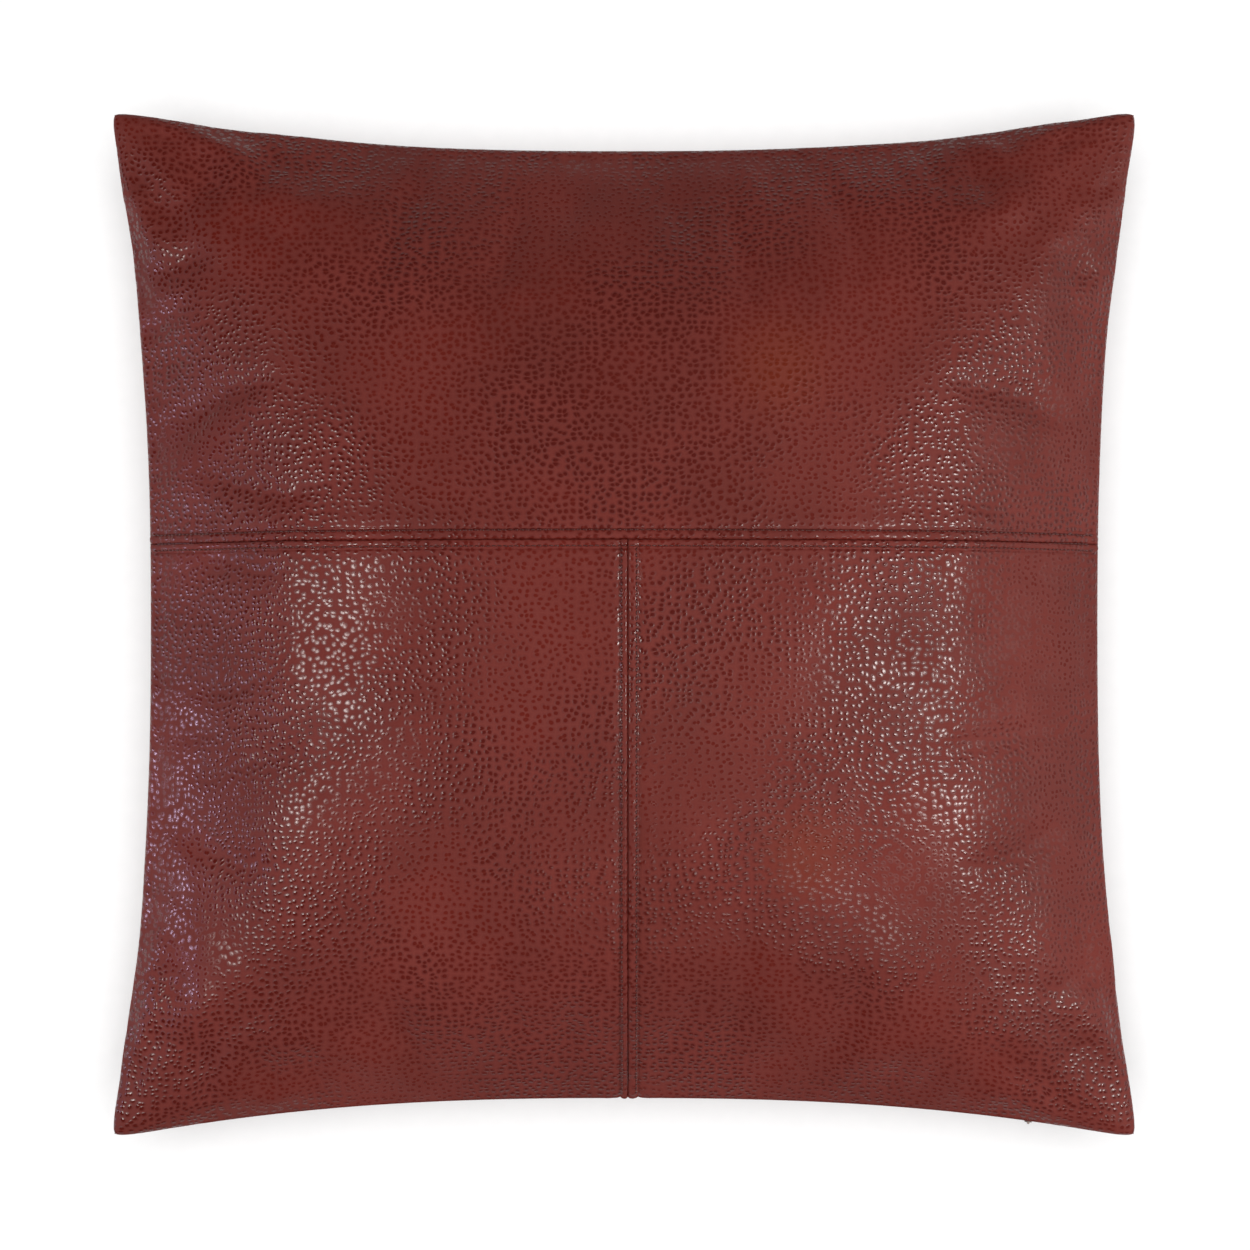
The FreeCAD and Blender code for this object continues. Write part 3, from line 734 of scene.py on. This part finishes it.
def woven_material(name, dark, light, pitch, roughness=0.8):
    """Plain weave from two crossed waves, with painted shade in its hollows."""
    made, tree, shader = material(name)
    position = add(tree, "TexCoord").outputs["Object"]
    parts = add(tree, "SeparateXYZ", {0: position})
    pair = []
    for axis in ("X", "Y"):
        phase = maths(tree, "MULTIPLY", parts.outputs[axis], 2 * math.pi / pitch)
        pair.append(maths(tree, "ABSOLUTE", maths(tree, "SINE", phase)))
    weave = maths(tree, "MAXIMUM", *pair)
    fuzz = noise(tree, position, 900.0, 3.0)
    height = maths(tree, "ADD", maths(tree, "MULTIPLY", weave, 0.7), maths(tree, "MULTIPLY", fuzz, 0.3))
    # The weave's low places are painted darker: painted shade in its hollows, mixed with random fibre
    # tone.
    tree.links.new(blend(tree, height, dark, light), shader.inputs["Base Color"])
    tree.links.new(bump(tree, height, 0.15 * MM), shader.inputs["Normal"])
    shader.inputs["Roughness"].default_value = roughness
    shader.inputs["Sheen Weight"].default_value = 0.2
    return made


def enamel_material():
    """Red enamel on metal, worn bare at its edges."""
    made, tree, shader = material("red_enamel")
    position = add(tree, "TexCoord").outputs["Object"]
    edge = add(tree, "NewGeometry").outputs["Pointiness"]
    scuffs = noise(tree, position, 700.0, 4.0, 0.7)
    worn = remap(tree, maths(tree, "ADD", edge, maths(tree, "MULTIPLY", scuffs, 0.12)), 0.60, 0.66)
    colour = blend(tree, worn, (0.085, 0.012, 0.010), (0.30, 0.24, 0.21))
    tree.links.new(colour, shader.inputs["Base Color"])
    tree.links.new(remap(tree, scuffs, 0.3, 0.7, 0.22, 0.4), shader.inputs["Roughness"])
    tree.links.new(bump(tree, scuffs, 0.02 * MM), shader.inputs["Normal"])
    tree.links.new(maths(tree, "MULTIPLY", worn, 0.9), shader.inputs["Metallic"])
    shader.inputs["Coat Weight"].default_value = 0.4
    shader.inputs["Coat Roughness"].default_value = 0.12
    return made


def plastic_material():
    """The coil's dark red plastic."""
    made, tree, shader = material("coil_plastic")
    position = add(tree, "TexCoord").outputs["Object"]
    haze = noise(tree, position, 1200.0, 3.0)
    colour = blend(tree, haze, (0.06, 0.010, 0.008), (0.10, 0.02, 0.015))
    tree.links.new(colour, shader.inputs["Base Color"])
    tree.links.new(remap(tree, haze, 0.3, 0.7, 0.35, 0.5), shader.inputs["Roughness"])
    tree.links.new(bump(tree, haze, 0.02 * MM), shader.inputs["Normal"])
    return made


def floor_material():
    """A plain pale floor with a faint speck."""
    made, tree, shader = material("pale_floor")
    position = add(tree, "TexCoord").outputs["Object"]
    speck = noise(tree, position, 90.0, 4.0)
    colour = blend(tree, speck, (0.78, 0.78, 0.78), (0.82, 0.82, 0.82))
    tree.links.new(colour, shader.inputs["Base Color"])
    shader.inputs["Roughness"].default_value = 0.9
    shader.inputs["Specular IOR Level"].default_value = 0.1
    return made


# ---- Build the cover ----

shift = simulate()

columns = graded(2 * HALF_SPAN, CELL) / HALF_SPAN - 1
centre_share = CENTRE_X / half_width(0.0)


def above_seam(column_shares, row_shares):
    """u and v over a panel that runs from the cross seam up to the top edge."""
    u, t = np.meshgrid(column_shares, row_shares, indexing="ij")
    seam = CROSS_Y / half_width(u)
    return u, seam + t * (1 - seam)


def below_seam(column_shares, row_shares):
    """u and v over a panel that runs from the lower edge up to the cross seam."""
    u, t = np.meshgrid(column_shares, row_shares, indexing="ij")
    seam = CROSS_Y / half_width(u)
    return u, -1 + t * (seam + 1)


upper_length = HALF_SPAN - EDGE_INSET - CROSS_Y
upper_rows = with_row(graded(upper_length, CELL), ROW_ABOVE) / upper_length
lower_length = HALF_SPAN - EDGE_INSET + CROSS_Y
lower_rows = 1 - (with_row(graded(lower_length, CELL), ROW_BELOW) / lower_length)[::-1]
left_columns = with_row(graded(HALF_SPAN * (1 + centre_share), CELL), ROW_LEFT)
left_columns = centre_share - left_columns[::-1] / HALF_SPAN
right_columns = with_row(graded(HALF_SPAN * (1 - centre_share), CELL), ROW_RIGHT)
right_columns = centre_share + right_columns / HALF_SPAN
back_shares = graded(2 * HALF_SPAN, BACK_CELL) / HALF_SPAN - 1

upper = panel(
    "cover_front_upper",
    "front_upper_panel",
    above_seam(columns, upper_rows),
    shift,
    seams=[("bottom", ROW_ABOVE, 41)],
    edges=("left", "right", "top"),
    offset=(0.0, 0.5),
)
left = panel(
    "cover_front_lower_left",
    "front_lower_left_panel",
    below_seam(left_columns, lower_rows),
    shift,
    seams=[("top", ROW_BELOW, 43), ("right", ROW_LEFT, 45)],
    edges=("left", "bottom"),
    offset=(0.0, -0.5),
)
right = panel(
    "cover_front_lower_right",
    "front_lower_right_panel",
    below_seam(right_columns, lower_rows),
    shift,
    seams=[("top", ROW_BELOW, 43), ("left", ROW_RIGHT, 47)],
    edges=("right", "bottom"),
    offset=(1.3, -0.5),
)
back = panel(
    "cover_back",
    "back_panel",
    np.meshgrid(back_shares, back_shares, indexing="ij"),
    shift,
    seams=[],
    edges=("left", "right", "bottom", "top"),
    offset=(2.1, 0.7),
    side=-1,
)

# ---- The insert, which follows the cover from inside ----

INSERT_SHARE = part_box("insert_front_shell")[1].x / HALF_SPAN
INSERT_ROUND = 0.13  # share of the insert's half width over which it rounds to its edge
INSERT_RUMPLE = 0.5 * MM
CASE_DEPTH = 4.4 * MM  # how far the insert's case lies inside the cover's face
FIBRE_DEPTH = 5.4 * MM


def insert_layer(side, depth):
    """A layer of the insert at this depth inside the cover, which comes to an edge of its own."""
    u, v = even_grid()
    points = filled(u * INSERT_SHARE, v * INSERT_SHARE, side, shift)
    points = points - normals_of(points, side) * depth
    if side < 0:
        points = settled(points)
        points[..., 2] += depth * (1 - smoothstep(points[..., 2], 0, 4 * depth))
    room = np.minimum(1 - np.abs(u), 1 - np.abs(v))
    rounding = np.sin(math.pi / 2 * np.clip(room / INSERT_ROUND, 0, 1)) ** 0.8
    wave = swell(points[..., 0], points[..., 1], 71 + side, 0.02, 0.06)
    rumple = INSERT_RUMPLE * wave * rounding
    height = (points[..., 2] - SEAM_LEVEL) * rounding - side * np.abs(rumple)
    points[..., 2] = SEAM_LEVEL + height
    return points


inserts = {}
for name, depth, slot, hidden in (
    ("insert_case", CASE_DEPTH, "insert_cloth", ("insert_front_shell", "insert_back_shell")),
    ("insert_fibre", FIBRE_DEPTH, "filling", ("insert_filling",)),
):
    mesh = closed_mesh(name, insert_layer(1, depth), insert_layer(-1, depth))[0]
    inserts[slot] = place(name, mesh)
    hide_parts(*hidden)

# ---- Stitches on the face ----

path, out = line_at(upper, 1, False, ROW_ABOVE)
threads = [stitch_row("stitches_cross_upper", "cross_seam_topstitch_upper", path, out)]
left_path, left_out = line_at(left, 1, True, ROW_BELOW)
right_path, right_out = line_at(right, 1, True, ROW_BELOW)
path = np.concatenate([left_path[:-1], right_path[1:]])
out = np.concatenate([left_out[:-1], right_out[1:]])
threads.append(stitch_row("stitches_cross_lower", "cross_seam_topstitch_lower", path, out))
path, out = line_at(left, 0, True, ROW_LEFT)
end = ROW_BELOW + 2 * THREAD
threads.append(stitch_row("stitches_centre_left", "centre_seam_topstitch_left", path, out, end))
path, out = line_at(right, 0, False, ROW_RIGHT)
threads.append(stitch_row("stitches_centre_right", "centre_seam_topstitch_right", path, out, end))

# ---- Materials on the pieces and on the CAD nodes that stay ----

leather = leather_material()
for part in (upper, left, right, back):
    part["piece"].data.materials.append(leather)
thread = thread_material()
for piece in threads:
    piece.data.materials.append(thread)
enamel = enamel_material()
tape = woven_material("woven_tape", (0.045, 0.008, 0.006), (0.10, 0.02, 0.015), 0.7 * MM)
cotton = woven_material("insert_cotton", (0.70, 0.69, 0.66), (0.86, 0.85, 0.82), 1.0 * MM)
fibre = woven_material("fibre_filling", (0.80, 0.80, 0.79), (0.92, 0.92, 0.91), 3.0 * MM, 0.95)
ribbon = woven_material("satin_ribbon", (0.76, 0.75, 0.72), (0.88, 0.87, 0.85), 0.5 * MM, 0.45)
plastic = plastic_material()
FINISHES = {
    "thread": thread,
    "zip_tape": tape,
    "zip_coil": plastic,
    "zip_metal": enamel,
    "insert_cloth": cotton,
    "filling": fibre,
    "label_ribbon": ribbon,
}
for row in frame["record"]["subparts"]:
    if row["material_slot"] in FINISHES:
        shown = nodes[row["node"]]
        shown.data.materials.clear()
        shown.data.materials.append(FINISHES[row["material_slot"]])
for slot, piece in inserts.items():
    piece.data.materials.append(FINISHES[slot])
for name in ("zip_slider", "zip_pull"):
    rounding = nodes[name].modifiers.new("rounded", "BEVEL")
    rounding.width = 0.12 * MM
    rounding.segments = 2
    rounding.limit_method = "ANGLE"

# ---- Floor, light and camera ----

FLOOR_HALF = 6.0
floor_mesh = bpy.data.meshes.new("floor")
corners = [(x * FLOOR_HALF, y * FLOOR_HALF, 0) for x, y in ((-1, -1), (1, -1), (1, 1), (-1, 1))]
floor_mesh.from_pydata(corners, [], [(0, 1, 2, 3)])
floor = bpy.data.objects.new("floor", floor_mesh)
bpy.context.scene.collection.objects.link(floor)
floor_mesh.materials.append(floor_material())
floor.location.z = -0.5 * MM


def linked_to_floor(light, state):
    """Makes a light reach only the floor (INCLUDE) or everything but the floor (EXCLUDE)."""
    reached = bpy.data.collections.new(f"{light.name}_reach")
    reached.objects.link(floor)
    reached.collection_objects[0].light_linking.link_state = state
    light.light_linking.receiver_collection = reached


def softbox(name, direction, distance, lengthwise, length, width, power, colour):
    """An area light in this direction from the pillow's middle, aimed at it, longest lengthwise."""
    data = bpy.data.lights.new(name, "AREA")
    data.shape = "RECTANGLE"
    data.size = length
    data.size_y = width
    data.energy = power
    data.color = colour
    made = bpy.data.objects.new(name, data)
    bpy.context.scene.collection.objects.link(made)
    linked_to_floor(made, "EXCLUDE")
    away = Vector(direction).normalized()
    across = Vector(lengthwise)
    across = (across - away * across.dot(away)).normalized()
    made.matrix_world = Matrix((across, away.cross(across), away)).transposed().to_4x4()
    made.location = Vector((0, 0, SEAM_LEVEL)) + away * distance


TILT = math.radians(43)  # of the two main softboxes from straight above
REACH = 2.2  # distance of the softboxes above the pillow
WARM = (1.0, 0.95, 0.92)
VIOLET = (0.85, 0.70, 1.0)
for name, sign, low, length, power in (
    ("softbox_left", -1, -0.11, 0.70, 24),
    ("softbox_right", 1, -0.06, 0.62, 33),
):
    direction = (sign * math.sin(TILT), low, math.cos(TILT))
    softbox(name, direction, REACH, (sign * 0.45, 1.0, 0.0), length, 0.55, power, WARM)
softbox("fill", (0.93, 0.0, 0.36), 3.0, (0.0, 1.0, 0.0), 2.0, 0.8, 7, WARM)
softbox("low_softbox", (0.28, -0.54, 0.82), REACH, (1.0, 0.0, 0.0), 0.6, 0.3, 6, WARM)
softbox("side_panel", (-0.98, -0.15, 0.14), 2.0, (0.0, 1.0, 0.0), 0.4, 0.12, 6, VIOLET)

# A broad lamp straight above lights only the floor. It keeps the floor white and the shadow narrow.
floor_lamp = bpy.data.lights.new("floor_lamp", "SUN")
floor_lamp.angle = math.radians(46)
floor_lamp.energy = 3.75
floor_light = bpy.data.objects.new("floor_lamp", floor_lamp)
bpy.context.scene.collection.objects.link(floor_light)
linked_to_floor(floor_light, "INCLUDE")

world = bpy.data.worlds.new("studio")
bpy.context.scene.world = world
world.use_nodes = True
tree = world.node_tree
sky = add(tree, "TexCoord").outputs["Generated"]
sideways = add(tree, "SeparateXYZ", {0: sky}).outputs["X"]
backdrop = tree.nodes["Background"]
backdrop.inputs["Color"].default_value = (1, 1, 1, 1)
lit_sky = remap(tree, sideways, -0.9, 0.3, 0.03, 0.19)
SEEN_SKY = 0.85  # the backdrop's brightness where the camera looks at it
seen = maths(tree, "MULTIPLY", add(tree, "LightPath").outputs["Is Camera Ray"], SEEN_SKY)
tree.links.new(maths(tree, "MAXIMUM", lit_sky, seen), backdrop.inputs["Strength"])

CAMERA_DISTANCE = 1.603
FRAME_WIDTH = 0.7345  # width of the view at the seams' level
SENSOR = 36.0
camera_data = bpy.data.cameras.new("camera")
camera_data.sensor_width = SENSOR
camera_data.lens = SENSOR * CAMERA_DISTANCE / FRAME_WIDTH
camera = bpy.data.objects.new("camera", camera_data)
bpy.context.scene.collection.objects.link(camera)
camera.location = (0.0005, -0.0003, SEAM_LEVEL + CAMERA_DISTANCE)
bpy.context.scene.camera = camera
bpy.context.scene.view_settings.view_transform = "Standard"

bpy.context.view_layer.update()
